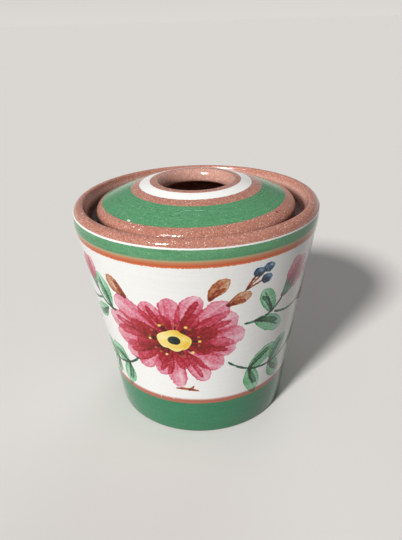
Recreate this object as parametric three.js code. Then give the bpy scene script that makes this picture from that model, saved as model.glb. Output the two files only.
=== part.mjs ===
// Hair receiver: a turned earthenware jar with a drop-in domed lid that has a finger hole.
// Millimetres, +Z up. The origin is the centre of the circle that the foot ring stands on.
import * as THREE from "three";

// Driving dimensions of the jar
const RIM_DIAMETER = 89.2;
const FOOT_DIAMETER = 66.2;
const WALL_TOP_DIAMETER = 88.9;
const JAR_HEIGHT = 82.7;
const WALL_TOP_HEIGHT = 76;
const WALL_THICKNESS = 5;
const FLOOR_THICKNESS = 6;
const FLOOR_CORNER = 7;
const FOOT_RING_WIDTH = 5;
const FOOT_RECESS_DEPTH = 1.8;
const FOOT_EDGE = 1.2;

// Rim and gallery, the step inside the mouth that the lid rests on
const RIM_WIDEST_HEIGHT = 78.5;
const RIM_CREST_RADIUS = 41.9;
const RIM_INNER_RADIUS = 40.7;
const GALLERY_RADIUS = 38.2;
const GALLERY_HEIGHT = 76.4;
const LEDGE_RADIUS = 33.6;
const LEDGE_THICKNESS = 4.4;
const LEDGE_SLOPE_DROP = 5;

// Driving dimensions of the lid, a dome with a rounded edge and a funnel-shaped finger hole
const LID_RADIUS = 36.5;
const SEAT_GAP = 0.3;
const LID_EDGE_HEIGHT = 79.6;
const SHOULDER_RADIUS = 33.3;
const SHOULDER_HEIGHT = 82.6;
const NECK_RADIUS = 20.3;
const NECK_HEIGHT = 87.4;
const LIP_CREST_RADIUS = 15.4;
const LIP_HEIGHT = 88.7;
const LIP_RADIUS = 13.9;
const THROAT_RADIUS = 12.1;
const THROAT_HEIGHT = 85.4;
const THROAT_FOOT_HEIGHT = 83.8;

// Locating flange under the lid, which drops inside the ledge
const FLANGE_RADIUS = 32.4;
const FLANGE_WALL = 3.4;
const FLANGE_DEPTH = 4;
const FLANGE_ROOT_HEIGHT = 79.4;

// Facets
const SEGMENTS = 72;
const CURVE_STEPS = 4;

const footRadius = FOOT_DIAMETER / 2;
const rimRadius = RIM_DIAMETER / 2;
const wallTopRadius = WALL_TOP_DIAMETER / 2;

// The outer wall leans out in a straight line from the foot to just under the rim.
function outerRadiusAt(height) {
  return footRadius + ((wallTopRadius - footRadius) * height) / WALL_TOP_HEIGHT;
}

function innerRadiusAt(height) {
  return outerRadiusAt(height) - WALL_THICKNESS;
}

// Turns an outline of radius and height about the Z axis, as on a potter's wheel.
function turned(outline, name, material) {
  const geometry = new THREE.LatheGeometry(outline.getPoints(CURVE_STEPS), SEGMENTS);
  geometry.rotateX(Math.PI / 2);
  const mesh = new THREE.Mesh(geometry, material);
  mesh.name = name;
  return mesh;
}

// Underside of the jar: a shallow recess inside the ring that it stands on.
function footRing(outline) {
  const ringInner = footRadius - FOOT_RING_WIDTH;
  outline.moveTo(0, FOOT_RECESS_DEPTH);
  outline.lineTo(ringInner - FOOT_RECESS_DEPTH, FOOT_RECESS_DEPTH);
  outline.lineTo(ringInner, 0);
  outline.lineTo(footRadius - FOOT_EDGE, 0);
  outline.quadraticCurveTo(footRadius, 0, outerRadiusAt(FOOT_EDGE), FOOT_EDGE);
}

// Straight outer wall that turns upright at the rim, which rolls over to its crest and down to the ledge.
function rimAndGallery(outline) {
  const upturn = 1;
  const sideRoll = 2.2;
  const crestRoll = 1.5;
  const corner = 1.2;
  outline.lineTo(wallTopRadius, WALL_TOP_HEIGHT);
  outline.quadraticCurveTo(rimRadius, WALL_TOP_HEIGHT + upturn, rimRadius, RIM_WIDEST_HEIGHT);
  outline.bezierCurveTo(
    rimRadius, RIM_WIDEST_HEIGHT + sideRoll,
    RIM_CREST_RADIUS + crestRoll, JAR_HEIGHT,
    RIM_CREST_RADIUS, JAR_HEIGHT,
  );
  outline.quadraticCurveTo(
    RIM_INNER_RADIUS, JAR_HEIGHT,
    RIM_INNER_RADIUS - corner / 4, JAR_HEIGHT - corner,
  );
  outline.lineTo(GALLERY_RADIUS + corner / 4, GALLERY_HEIGHT + corner);
  outline.quadraticCurveTo(
    GALLERY_RADIUS, GALLERY_HEIGHT,
    GALLERY_RADIUS - corner, GALLERY_HEIGHT,
  );
  outline.lineTo(LEDGE_RADIUS + corner / 2, GALLERY_HEIGHT);
  outline.quadraticCurveTo(
    LEDGE_RADIUS, GALLERY_HEIGHT,
    LEDGE_RADIUS, GALLERY_HEIGHT - corner / 2,
  );
}

// Underside of the ledge, inner wall, and a floor with a rounded corner.
function well(outline) {
  const ledgeFoot = GALLERY_HEIGHT - LEDGE_THICKNESS;
  const wallTop = ledgeFoot - LEDGE_SLOPE_DROP;
  const cornerTop = FLOOR_THICKNESS + FLOOR_CORNER;
  outline.lineTo(LEDGE_RADIUS, ledgeFoot);
  outline.lineTo(innerRadiusAt(wallTop), wallTop);
  outline.lineTo(innerRadiusAt(cornerTop), cornerTop);
  outline.quadraticCurveTo(
    innerRadiusAt(FLOOR_THICKNESS), FLOOR_THICKNESS,
    innerRadiusAt(FLOOR_THICKNESS) - FLOOR_CORNER, FLOOR_THICKNESS,
  );
  outline.lineTo(0, FLOOR_THICKNESS);
}

// Rounded edge of the lid, its shallow dome and the nearly flat ring round the finger hole.
function lidTop(outline, seat) {
  const edge = 1.2;
  outline.lineTo(LID_RADIUS - edge, seat);
  outline.quadraticCurveTo(LID_RADIUS - edge / 4, seat, LID_RADIUS - edge / 4, seat + edge);
  outline.quadraticCurveTo(LID_RADIUS, LID_EDGE_HEIGHT - edge, LID_RADIUS, LID_EDGE_HEIGHT);
  outline.quadraticCurveTo(LID_RADIUS, SHOULDER_HEIGHT - edge, SHOULDER_RADIUS, SHOULDER_HEIGHT);
  outline.quadraticCurveTo(
    (SHOULDER_RADIUS + NECK_RADIUS) / 2, (SHOULDER_HEIGHT + NECK_HEIGHT) / 2 + edge / 4,
    NECK_RADIUS, NECK_HEIGHT,
  );
  outline.quadraticCurveTo(NECK_RADIUS - LIP_RADIUS / 4, LIP_HEIGHT, LIP_CREST_RADIUS, LIP_HEIGHT);
}

// Funnel-shaped throat of the finger hole, then the hollow underside out to the flange.
function lidUnderside(outline, seat) {
  const flangeInner = FLANGE_RADIUS - FLANGE_WALL;
  const flangeFoot = seat - FLANGE_DEPTH;
  const edge = 0.5;
  const throatBend = 2;
  const throatFootRoll = 1.6;
  outline.lineTo(LIP_RADIUS + edge, LIP_HEIGHT);
  outline.quadraticCurveTo(LIP_RADIUS, LIP_HEIGHT, LIP_RADIUS - edge / 2, LIP_HEIGHT - edge);
  outline.quadraticCurveTo(THROAT_RADIUS, THROAT_HEIGHT + throatBend, THROAT_RADIUS, THROAT_HEIGHT);
  outline.quadraticCurveTo(
    THROAT_RADIUS, THROAT_FOOT_HEIGHT,
    THROAT_RADIUS + throatFootRoll, THROAT_FOOT_HEIGHT,
  );
  outline.quadraticCurveTo(
    (THROAT_RADIUS + flangeInner) / 2, THROAT_FOOT_HEIGHT,
    flangeInner, FLANGE_ROOT_HEIGHT,
  );
  outline.lineTo(flangeInner, flangeFoot + edge);
  outline.lineTo(flangeInner + edge, flangeFoot);
  outline.lineTo(FLANGE_RADIUS - edge, flangeFoot);
  outline.lineTo(FLANGE_RADIUS, flangeFoot + edge);
  outline.closePath();
}

function makeJar() {
  const outline = new THREE.Path();
  footRing(outline);
  rimAndGallery(outline);
  well(outline);
  const creamSlip = new THREE.MeshStandardMaterial({ color: 0xf2efe6, roughness: 0.15, metalness: 0 });
  return turned(outline, "jar", creamSlip);
}

function makeLid() {
  const seat = GALLERY_HEIGHT + SEAT_GAP;
  const outline = new THREE.Path();
  outline.moveTo(FLANGE_RADIUS, seat);
  lidTop(outline, seat);
  lidUnderside(outline, seat);
  const greenSlip = new THREE.MeshStandardMaterial({ color: 0x3f7d55, roughness: 0.2, metalness: 0 });
  return turned(outline, "lid", greenSlip);
}

const hairReceiver = new THREE.Group();
hairReceiver.add(makeJar(), makeLid());

export default hairReceiver;
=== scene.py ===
# %% [markdown]
# A small dressing-table pot: a red earthenware jar and its drop-in lid with a finger hole.
# Both were turned on a wheel, dipped in white slip, banded in green and rust red, painted with
# a brush and covered in clear glaze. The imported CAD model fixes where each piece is, so this
# file gives the two pieces a fine surface, a glaze and a painted pattern, and lights them.

# %% Load the fixed frame
import math

import bmesh
import bpy
import numpy as np
from mathutils import Matrix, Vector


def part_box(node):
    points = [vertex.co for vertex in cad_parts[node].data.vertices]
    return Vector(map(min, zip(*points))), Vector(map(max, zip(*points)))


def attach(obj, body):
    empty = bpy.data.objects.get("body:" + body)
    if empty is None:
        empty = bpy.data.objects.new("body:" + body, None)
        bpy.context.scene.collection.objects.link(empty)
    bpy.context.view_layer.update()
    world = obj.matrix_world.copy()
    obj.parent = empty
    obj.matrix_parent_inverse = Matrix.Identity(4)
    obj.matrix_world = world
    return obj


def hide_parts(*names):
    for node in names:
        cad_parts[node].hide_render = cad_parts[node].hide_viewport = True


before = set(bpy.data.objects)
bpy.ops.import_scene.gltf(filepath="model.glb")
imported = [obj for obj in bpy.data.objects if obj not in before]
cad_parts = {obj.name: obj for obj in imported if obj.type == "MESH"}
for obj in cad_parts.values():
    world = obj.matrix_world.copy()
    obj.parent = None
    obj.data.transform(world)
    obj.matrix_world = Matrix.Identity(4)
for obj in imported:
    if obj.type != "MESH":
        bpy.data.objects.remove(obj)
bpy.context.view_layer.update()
jar_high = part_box("jar")[1]
lid_low, lid_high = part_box("lid")
MM = 0.001
print("highest corner of the jar in mm", [round(v / MM, 1) for v in jar_high])

# %% [markdown]
# Two helpers come first. Colours are written as the hex values that a colour picker shows, and
# Blender works in linear light, so one function converts them. The other adds a shader node
# with its settings and its links in one call. Node groups could be kept in a library file
# instead, but written out like this they show how a finish is built up.


# %% Colours as a picker shows them
def paint(hex_colour):
    """Linear RGBA for Blender from an sRGB hex colour. The numbers are those of the sRGB curve."""
    values = [int(hex_colour[i:i + 2], 16) / 255 for i in (1, 3, 5)]
    linear = [v / 12.92 if v <= 0.04045 else ((v + 0.055) / 1.055) ** 2.4 for v in values]
    return (*linear, 1.0)


print("white slip in linear light", [round(v, 3) for v in paint("#F4F1E8")])


# %% Adding a shader node
def node(tree, kind, links=None, **settings):
    """Adds a node. links maps an input's name or number to a socket or a plain value."""
    made = tree.nodes.new(kind)
    for name, value in settings.items():
        setattr(made, name, value)
    for name, value in (links or {}).items():
        if isinstance(value, bpy.types.NodeSocket):
            tree.links.new(value, made.inputs[name])
        else:
            made.inputs[name].default_value = value
    return made


print("kinds of shader node to choose from", sum(name.startswith("ShaderNode") for name in dir(bpy.types)))

# %% [markdown]
# A potter's outline is a row of corners, each softened by a finger or a sponge. It could be a
# curve under a Screw modifier, but every rounding would then need handles of its own. Here a
# corner is (radius, height, rounding) in millimetres. A vertex bevel rounds it, the long
# straight runs are divided, and the spin operator turns the outline about the Z axis, which
# is what the wheel does.

# %% Drawing an outline
ROUND_STEPS = 4
OUTLINE_MERGE_MM = 0.01


def outline_of(corners, closed):
    """A bmesh of edges from corner to corner. closed joins the last corner to the first one."""
    bm = bmesh.new()
    verts = [bm.verts.new((radius * MM, 0, height * MM)) for radius, height, _ in corners]
    ends = verts[1:] + verts[:1] if closed else verts[1:]
    for start, end in zip(verts, ends):
        bm.edges.new((start, end))
    for vert, (_, _, rounding) in zip(verts, corners):
        if rounding:
            bmesh.ops.bevel(
                bm, geom=[vert], offset=rounding * MM, offset_type="OFFSET",
                segments=ROUND_STEPS, profile=0.5, affect="VERTICES", material=-1,
            )
    bmesh.ops.remove_doubles(bm, verts=bm.verts[:], dist=OUTLINE_MERGE_MM * MM)
    return bm


print("edges in a rounded corner", ROUND_STEPS)


# %% Dividing the long runs
def divide(bm, row_height, fine):
    """Divides each edge into rows of row_height mm. fine is None, or says where on the pot the
    rows have a smaller height of their own."""
    for edge in bm.edges[:]:
        start, end = edge.verts
        radius = min(start.co.x, end.co.x) / MM
        low, high = sorted((start.co.z / MM, end.co.z / MM))
        row = row_height
        if fine and fine["lowest"] < low and high < fine["highest"] and radius > fine["least_radius"]:
            row = fine["row_height"]
        cuts = int((end.co - start.co).length / (row * MM))
        if cuts:
            bmesh.ops.subdivide_edges(bm, edges=[edge], cuts=cuts)


trial = outline_of([(0, 0, 0), (10, 0, 0)], closed=False)
divide(trial, row_height=2.1, fine=None)
print("a run of 10 mm in rows of 2.1 mm has", len(trial.edges), "edges")
trial.free()


# %% From a bmesh to an object
def object_from(bm, name):
    """Puts a finished bmesh into the scene as an object at the origin."""
    mesh = bpy.data.meshes.new(name)
    bm.to_mesh(mesh)
    bm.free()
    mesh.calc_loop_triangles()
    print(name, "has", len(mesh.loop_triangles), "triangles")
    made = bpy.data.objects.new(name, mesh)
    bpy.context.scene.collection.objects.link(made)
    return made


# %% Turning an outline on the wheel
SEAM_MERGE_MM = 0.002


def turned(name, corners, closed, segments, row_height, fine=None):
    """A solid of revolution, smooth all over, with its faces pointing out."""
    bm = outline_of(corners, closed)
    divide(bm, row_height, fine)
    bmesh.ops.spin(
        bm, geom=bm.verts[:] + bm.edges[:], cent=(0, 0, 0), axis=(0, 0, 1), dvec=(0, 0, 0),
        angle=2 * math.pi, steps=segments, use_merge=True, use_duplicate=False,
    )
    bmesh.ops.remove_doubles(bm, verts=bm.verts[:], dist=SEAM_MERGE_MM * MM)
    bmesh.ops.recalc_face_normals(bm, faces=bm.faces[:])
    piece = object_from(bm, name)
    piece.data.shade_smooth()
    return piece


print("points within", SEAM_MERGE_MM, "mm of each other are merged")

# %% [markdown]
# The jar stands on a ring with a shallow recess. Its wall leans out in a straight line, a
# little steeper at the foot, turns upright at the rim and rolls over into a gallery, the step
# that carries the lid. The white slip stops just under the rim, and stands proud of the bare
# clay there by a thread's width. A bump could fake that step, but a real one catches the light
# from every side and is there in the exported mesh too.

# %% Sizes of the jar
RIM_RADIUS = jar_high.x / MM
JAR_TOP = jar_high.z / MM
CONE_RADIUS = 33.1
FOOT_RADIUS = 33.75
RECESS_DEPTH = 1.8
FLOOR_HEIGHT = 6.0
WALL_TOP = (44.45, 76.0)
WHITE_FIELD = (17.8, 73.7)
SLIP_EDGE = 80.5
SLIP_PROUD = 0.18
LEDGE_RADIUS = 33.6
LEDGE_HEIGHT = 76.4


def wall_radius(height):
    """Radius in mm of the cone that the painted part of the wall lies on."""
    return CONE_RADIUS + (WALL_TOP[0] - CONE_RADIUS) * height / WALL_TOP[1]


print("the white field is", round(WHITE_FIELD[1] - WHITE_FIELD[0], 1), "mm tall")
print("the wall at its foot is", round(wall_radius(WHITE_FIELD[0]), 2), "mm from the axis")

# %% Turning the jar
FIELD_MARGIN = 1.0
PAINTED_ROWS = {
    "lowest": WHITE_FIELD[0] - FIELD_MARGIN,
    "highest": WHITE_FIELD[1] + FIELD_MARGIN,
    "least_radius": FOOT_RADIUS,
    "row_height": 0.5,
}
UNDERSIDE = [
    (0, RECESS_DEPTH, 0),
    (26.3, RECESS_DEPTH, 0.9),
    (28.1, 0, 0.4),
    (FOOT_RADIUS, 0, 1.1),
]
OUTER_WALL = [(wall_radius(height), height, 0) for height in WHITE_FIELD]
RIM = [
    (RIM_RADIUS, WALL_TOP[1] + 1, 0.9),
    (RIM_RADIUS - 0.05, SLIP_EDGE, 0.08),
    (RIM_RADIUS - SLIP_PROUD - 0.1, SLIP_EDGE + 0.1, 0.05),
    (RIM_RADIUS - 0.55, JAR_TOP, 2.1),
    (40.95, JAR_TOP, 0.6),
]
GALLERY = [
    (38.2, LEDGE_HEIGHT, 1.3),
    (LEDGE_RADIUS, LEDGE_HEIGHT, 0.6),
    (LEDGE_RADIUS, 72.0, 0.6),
]
WELL = [
    (38.1, 67.0, 2.5),
    (29.0, FLOOR_HEIGHT, 7.0),
    (0, FLOOR_HEIGHT, 0),
]
JAR_CORNERS = UNDERSIDE + OUTER_WALL + RIM + GALLERY + WELL
jar = turned("jar_pot", JAR_CORNERS, closed=False, segments=456, row_height=9.0, fine=PAINTED_ROWS)

# %% [markdown]
# The lid is a shallow dome with a rounded edge. Its finger hole is a small funnel with a
# crisp lip, and a flange under it keeps the lid from sliding off the ledge. Its outline never
# touches the axis, so the last corner is joined to the first one.

# %% The lid
LID_RADIUS = lid_high.x / MM
LID_TOP = lid_high.z / MM
SEAT_GAP = 0.3
SEAT = LEDGE_HEIGHT + SEAT_GAP
THROAT_RADIUS = 12.1
FLANGE_RADIUS = 32.4
FLANGE_INNER = 29.0
FLANGE_FOOT = lid_low.z / MM
DOME = [
    (LID_RADIUS - 0.3, SEAT, 0.9),
    (LID_RADIUS, 81.2, 2.2),
    (33.3, 82.6, 1.2),
    (27.0, 85.2, 4.0),
    (20.4, 87.35, 2.0),
    (16.6, 88.5, 1.0),
    (14.9, LID_TOP, 0.3),
]
THROAT = [
    (13.9, LID_TOP - 0.1, 0.3),
    (THROAT_RADIUS, 87.0, 1.5),
    (THROAT_RADIUS, 83.8, 1.2),
]
LID_UNDERSIDE = [
    (20.5, 83.6, 4.0),
    (FLANGE_INNER, 79.4, 1.5),
    (FLANGE_INNER, FLANGE_FOOT, 0.6),
    (FLANGE_RADIUS, FLANGE_FOOT, 0.6),
]
LID_CORNERS = [(FLANGE_RADIUS, SEAT, 0.5)] + DOME + THROAT + LID_UNDERSIDE
lid = turned("lid_pot", LID_CORNERS, closed=True, segments=420, row_height=1.2)

# %% [markdown]
# The painted pattern is a set of brush strokes on the white field. It could be a picture
# wrapped round the pot, but a picture has a fixed sharpness, and this file makes all that it
# shows. So for every point of the wall the distance to the edge of the nearest stroke is kept
# as an attribute, and the material turns that distance into a crisp edge, sharper than the
# mesh. The colour is the other attribute. Underglaze paint is a stain, so two strokes that
# overlap darken each other: what is added up is how much light each lets through.


# %% The wall as a sheet of paper
def in_mm(items, what):
    """One row of three numbers in mm for each vertex or face."""
    values = np.empty(len(items) * 3)
    items.foreach_get(what, values)
    return values.reshape(-1, 3) / MM


UNROLL_RADIUS = 40.0
LAP = 2 * math.pi * UNROLL_RADIUS
SKIN_MM = 1.0
spots = in_mm(jar.data.vertices, "co")
outside = np.hypot(spots[:, 0], spots[:, 1]) > wall_radius(spots[:, 2]) - SKIN_MM
at_field = (spots[:, 2] > PAINTED_ROWS["lowest"]) & (spots[:, 2] < PAINTED_ROWS["highest"])
on_wall = np.flatnonzero(outside & at_field)
along = UNROLL_RADIUS * np.arctan2(spots[on_wall, 0], -spots[on_wall, 1])
up = spots[on_wall, 2]
print("points on the painted wall", len(up))
print("they lie from", round(along.min()), "to", round(along.max()), "mm along it")

# %% [markdown]
# The strokes are sorted into coats. A stain lets what is under it show, and strokes of one
# coat melt together, so petals that lie side by side go into two coats. A cover hides what is
# under it, as thick enamel does.

# %% Coats of paint to be filled
STAINS = ("wash", "petals", "petals_over", "deep", "lines")
COVERS = ("body", "ink")
COATS = STAINS + COVERS
FAR_OFF = -4.0
NO_COVER = 1e-9
edge_of = {name: np.full(len(up), FAR_OFF) for name in COATS}
stain_of = {name: np.zeros((len(up), 3)) for name in COATS}
cover_of = {name: np.full(len(up), NO_COVER) for name in COATS}
print("coats from the lowest up", COATS)

# %% [markdown]
# A loaded round brush leaves a stroke that swells and ends, with streaks from its hairs, blots
# where the water stood, and a frayed end where it ran dry. Random noise could make these, but
# sums of a few waves give the same picture on every run.


# %% How uneven paint lies
def blotches(across, tall, size, phase):
    """Smooth unevenness from about -1 to 1: five waves, each turned and a little longer than the last."""
    total = 0
    for i, turn in enumerate((0.3, 1.5, 2.6, 3.9, 5.2)):
        wave = 2 * math.pi / (size * (1.2 + 0.31 * i))
        total = total + np.sin((across * math.cos(turn) + tall * math.sin(turn)) * wave + phase * (i + 1))
    return total / 3


sample = blotches(along, up, 4.0, 0.0)
print("unevenness over the wall runs from", round(sample.min(), 2), "to", round(sample.max(), 2))


# %% How wide a stroke is along its way
def brush_shape(travel, start, swell, end):
    """Width from 0 to 1 at each share of the way: start at first, full at swell, and end at the end."""
    rise = start + (1 - start) * np.sin(math.pi / 2 * np.clip(travel / swell, 0, 1))
    past = np.clip((travel - swell) / max(1 - swell, 0.001), 0, 1)
    fall = end + (1 - end) * np.sqrt(1 - past ** 2)
    return np.where(travel < swell, rise, fall)


print("width at the start, the swell and the end", brush_shape(np.array([0, 0.6, 1]), 0.3, 0.6, 0.0))

# %% The centre line of a stroke
LINE_STEPS = 20


def centre_line(points):
    """Points along the curve from the first point to the last, drawn towards the middle one."""
    first, bend, last = (np.array(p, float) for p in points)
    steps = np.linspace(0, 1, LINE_STEPS)[:, None]
    return (1 - steps) ** 2 * first + 2 * steps * (1 - steps) * bend + steps ** 2 * last


def follow(line, place):
    """For each place: its share of the way along the line, its distance from it, and its side."""
    tail, step = line[:-1], line[1:] - line[:-1]
    gap = place[:, None] - tail[None]
    share = np.clip((gap * step).sum(2) / (step ** 2).sum(1), 0, 1)
    away = gap - share[..., None] * step
    distance = np.hypot(away[..., 0], away[..., 1])
    nearest = distance.argmin(1)
    row = np.arange(len(place))
    travel = (nearest + share[row, nearest]) / len(tail)
    side = np.sign(away[row, nearest, 1] * step[nearest, 0] - away[row, nearest, 0] * step[nearest, 1])
    return travel, distance[row, nearest], side


bow = centre_line([(0, 0), (10, 6), (20, 0)])
print("a bend drawn 6 mm out bows the line by", round(bow[:, 1].max(), 1), "mm")

# %% How thick the paint lies and where it ends
BLOT_MM = 4.0
RAGGED_MM = 3.5
WAVER_SHARE = 0.045
MOST_WAVER_MM = 0.3
FRAY_MM = 0.9
LEAST_HALF_MM = 0.3


def thickness_of(place, travel, across, phase, load, streaks):
    """Thickness of the paint, with a streak for each clump of hairs."""
    hairs = np.sin(across * 4 + phase + travel)
    hairs = hairs + 0.7 * np.sin(across * 9 - 2 * phase) + 0.5 * np.sin(across * 17)
    uneven = 1 + streaks * 0.6 * hairs + 0.22 * blotches(place[:, 0], place[:, 1], BLOT_MM, -phase)
    return (load[0] + (load[1] - load[0]) * travel) * np.clip(uneven, 0.25, 2)


def ragged(edge, place, travel, phase, width, fray):
    """Makes the edge waver as the hand does, and frays it over the second half of the stroke."""
    waver = min(WAVER_SHARE * width, MOST_WAVER_MM)
    edge = edge + waver * blotches(place[:, 0], place[:, 1], RAGGED_MM, phase)
    dry = fray * np.clip(travel * 2 - 1, 0, 1)
    return edge - dry * (0.4 + blotches(place[:, 0], place[:, 1], FRAY_MM, phase))


print("the edge of a stroke wavers by", WAVER_SHARE, "of its width, up to", MOST_WAVER_MM, "mm")

# %% One stroke of the brush
BLEED_MM = 0.14
PAST_EDGE_MM = 1.5


def stroke(coat, points, width, pigment, load=(1.0, 1.0), start=0.3, swell=0.6, end=0.0,
           fray=0.0, streaks=0.35):
    """Lays one stroke. points are its start, bend and end as (along, up) in mm on the wall, and
    load is how much paint it leaves at each end."""
    line = centre_line(points)
    middle = line.mean(0)
    offset = np.stack([(along - middle[0] + LAP / 2) % LAP - LAP / 2, up - middle[1]], 1)
    reach = np.abs(line - middle).max(0) + width / 2 + PAST_EDGE_MM
    near = np.flatnonzero((np.abs(offset) < reach).all(1))
    place = offset[near] + middle
    travel, distance, side = follow(line, place)
    phase = points[0][0] * 1.7 + points[2][1] * 2.3
    half = width / 2 * brush_shape(travel, start, swell, end)
    edge = ragged(half - distance, place, travel, phase, width, fray)
    across = side * distance / np.maximum(half, LEAST_HALF_MM)
    thickness = thickness_of(place, travel, across, phase, load, streaks)
    stain = thickness[:, None] * -np.log(np.array(paint(pigment)[:3]))[None]
    cover = 1 / (1 + np.exp(-np.clip(edge, FAR_OFF, -FAR_OFF) / BLEED_MM))
    if coat in COVERS:
        hidden = edge > 0
        stain_of[coat][near[hidden]] = 0
        cover_of[coat][near[hidden]] = NO_COVER
    stain_of[coat][near] += cover[:, None] * stain
    cover_of[coat][near] = np.maximum(cover_of[coat][near], cover)
    edge_of[coat][near] = np.maximum(edge_of[coat][near], edge)


print("a stroke's edge melts into its neighbour's over", BLEED_MM, "mm")

# %% [markdown]
# The pattern itself is a common one for country pottery: a many-petalled garden flower seen
# from the front, bell flowers on bent stems, leaves in pairs and a few berries. Each motif is
# a short function that lays its own strokes, so the pattern can be arranged freely. A place is
# (mm along from the front, mm up), and a heading is in radians from the direction along.

# %% The painter's colours
CRIMSON = "#CB3C58"
LEAF_GREEN = "#5AB277"
DARK_GREEN = "#27664A"
BROWN = "#A9532C"
BLUE = "#45688A"
YELLOW = "#F4D873"
NEAR_BLACK = "#16281E"
print("crimson lets through", [round(v, 2) for v in paint(CRIMSON)[:3]], "of the light")


# %% Finding the way on the wall
def polar(centre, angle, across, tall):
    """A point on an ellipse about centre, in mm."""
    return (centre[0] + across * math.cos(angle), centre[1] + tall * math.sin(angle))


def ahead(base, heading, length):
    """The point at this length from base."""
    return polar(base, heading, length, length)


def bent(base, tip, bow):
    """The point halfway from base to tip, moved sideways by bow mm."""
    way = (tip[0] - base[0], tip[1] - base[1])
    reach = math.hypot(*way)
    return ((base[0] + tip[0]) / 2 - way[1] / reach * bow, (base[1] + tip[1]) / 2 + way[0] / reach * bow)


def arc(base, tip, bow):
    """The three points of a stroke from base to tip that bows sideways."""
    return (base, bent(base, tip, bow), tip)


print("a stroke of 10 mm with a bow of 2 mm goes through", arc((0, 0), (10, 0), 2))

# %% A dab and the heart of a flower
STAMENS = 17


def dab(spot, size, pigment, coat="ink", load=(1.0, 1.0)):
    """A dot left by the tip of the brush."""
    left = (spot[0] - size * 0.1, spot[1])
    right = (spot[0] + size * 0.1, spot[1])
    stroke(coat, (left, spot, right), size, pigment, load, start=1.0, swell=1.0, end=1.0, streaks=0.15)


def heart(centre, across, tall):
    """The eye of the flower: a yellow dome, brown stamens with tips round it, and a dark core."""
    half, end = (across ** 2 - tall ** 2) / across, tall / across
    left, right = (centre[0] - half, centre[1]), (centre[0] + half, centre[1])
    dome = (left, centre, right)
    stroke("body", dome, 2 * tall, YELLOW, (0.85, 1.3), start=end, swell=0.5, end=end, streaks=0.3)
    for i in range(STAMENS):
        angle = 2 * math.pi * i / STAMENS + 0.12 * math.sin(i * 4)
        root = polar(centre, angle, across * 0.8, tall * 0.8)
        tip = polar(centre, angle, across * 1.45, tall * 1.5)
        stroke("lines", (root, root, tip), 0.75, BROWN, (1.1, 1.1), start=0.8, swell=0.5, end=0.6)
        dab(tip, 1.0, BROWN if i % 3 else YELLOW)
    dab(centre, tall * 0.8, NEAR_BLACK)


print("stamens in each eye", STAMENS)

# %% A garden flower from the front
PETAL_FOOT = 0.17
HEART_SHARE = 0.23


def petal(centre, angle, i, across, tall, share):
    """Two pale strokes side by side, a deeper one from the heart and a thin one along the edge.
    The sines of i make no two petals quite alike."""
    size = 0.94 + 0.1 * math.sin(i * 2.4)
    turn = share / math.hypot(across * math.cos(angle), tall * math.sin(angle))
    base = polar(centre, angle, across * PETAL_FOOT, tall * PETAL_FOOT)
    for side in (-1, 1):
        tip = polar(centre, angle + side * 0.34 * turn, across * size, tall * size * (1 - 0.04 * side))
        lobe = arc(base, tip, side * 0.12 * share + 0.8 * math.sin(i * 1.9))
        load = (0.95, 0.24 + 0.1 * (i % 3))
        stroke("petals_over" if i % 2 else "petals", lobe, share * 0.6, CRIMSON, load, swell=0.74, fray=0.3)
    inner = polar(centre, angle + 0.1 * math.sin(i * 3), across * 0.64 * size, tall * 0.64 * size)
    stroke("deep", arc(base, inner, 1.0), share * 0.42, CRIMSON, (1.0, 0.45), start=0.5, fray=0.4)
    edge = polar(centre, angle + 0.3 * turn, across * size * 0.88, tall * size * 0.88)
    stroke("deep", arc(base, edge, 1.4), share * 0.17, CRIMSON, (0.5, 0.8), start=0.4, swell=0.75)


def flower(centre, across, tall, petals, turn):
    """Petals round an ellipse, none quite evenly spaced, and the heart over their feet."""
    for i in range(petals):
        angle = turn + 2 * math.pi * i / petals + 0.07 * math.sin(i * 5)
        reach = math.hypot(across * math.cos(angle), tall * math.sin(angle))
        petal(centre, angle, i, across, tall, share=2 * math.pi * reach * 0.74 / petals)
    heart(centre, across * HEART_SHARE, tall * HEART_SHARE)


print("the heart is", HEART_SHARE, "of the flower's width")


# %% Leaves and stems
def leaf(base, heading, length, width, bow):
    """A pale wash, one half of it gone over with darker green, and a dark rib."""
    middle = bent(base, ahead(base, heading, length), bow)
    wash = (base, middle, ahead(base, heading, length))
    stroke("wash", wash, width, LEAF_GREEN, (0.9, 0.42), swell=0.5, fray=0.15)
    inner = ahead(base, heading + 0.14, length * 0.8)
    stroke("deep", arc(base, inner, bow * 1.6), width * 0.32, DARK_GREEN, (0.75, 0.4), start=0.5, swell=0.5)
    rib = (base, middle, ahead(base, heading, length * 0.88))
    stroke("lines", rib, 0.8, DARK_GREEN, (0.75, 0.45), start=0.8)


def stem(points):
    """A thin even line."""
    stroke("lines", points, 1.1, DARK_GREEN, (0.8, 1.0), start=0.8, end=0.6)


def spray(points, pairs, length, width):
    """A bent stem with leaves in pairs and one at its end, smaller towards the end."""
    stem(points)
    start, bend, end = (np.array(p, float) for p in points)
    for i in range(1, pairs + 2):
        t = i / (pairs + 1)
        place = (1 - t) ** 2 * start + 2 * t * (1 - t) * bend + t ** 2 * end
        way = 2 * (1 - t) * (bend - start) + 2 * t * (end - bend)
        heading = math.atan2(way[1], way[0])
        size = length * (1.05 - 0.25 * t)
        if i > pairs:
            leaf(place, heading, size, width, 0.8)
        else:
            leaf(place, heading + 0.85, size, width, 1.0)
            leaf(place, heading - 0.9, size * 0.9, width, -1.0)


print("a spray of 2 pairs has", 2 * 2 + 1, "leaves")

# %% Bells and berries
BELL_PETALS = (
    (-0.42, 0.92, "petals", (0.9, 0.3)),
    (0.42, 0.92, "petals_over", (0.9, 0.26)),
    (0, 1.0, "deep", (1.1, 0.35)),
)


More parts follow.
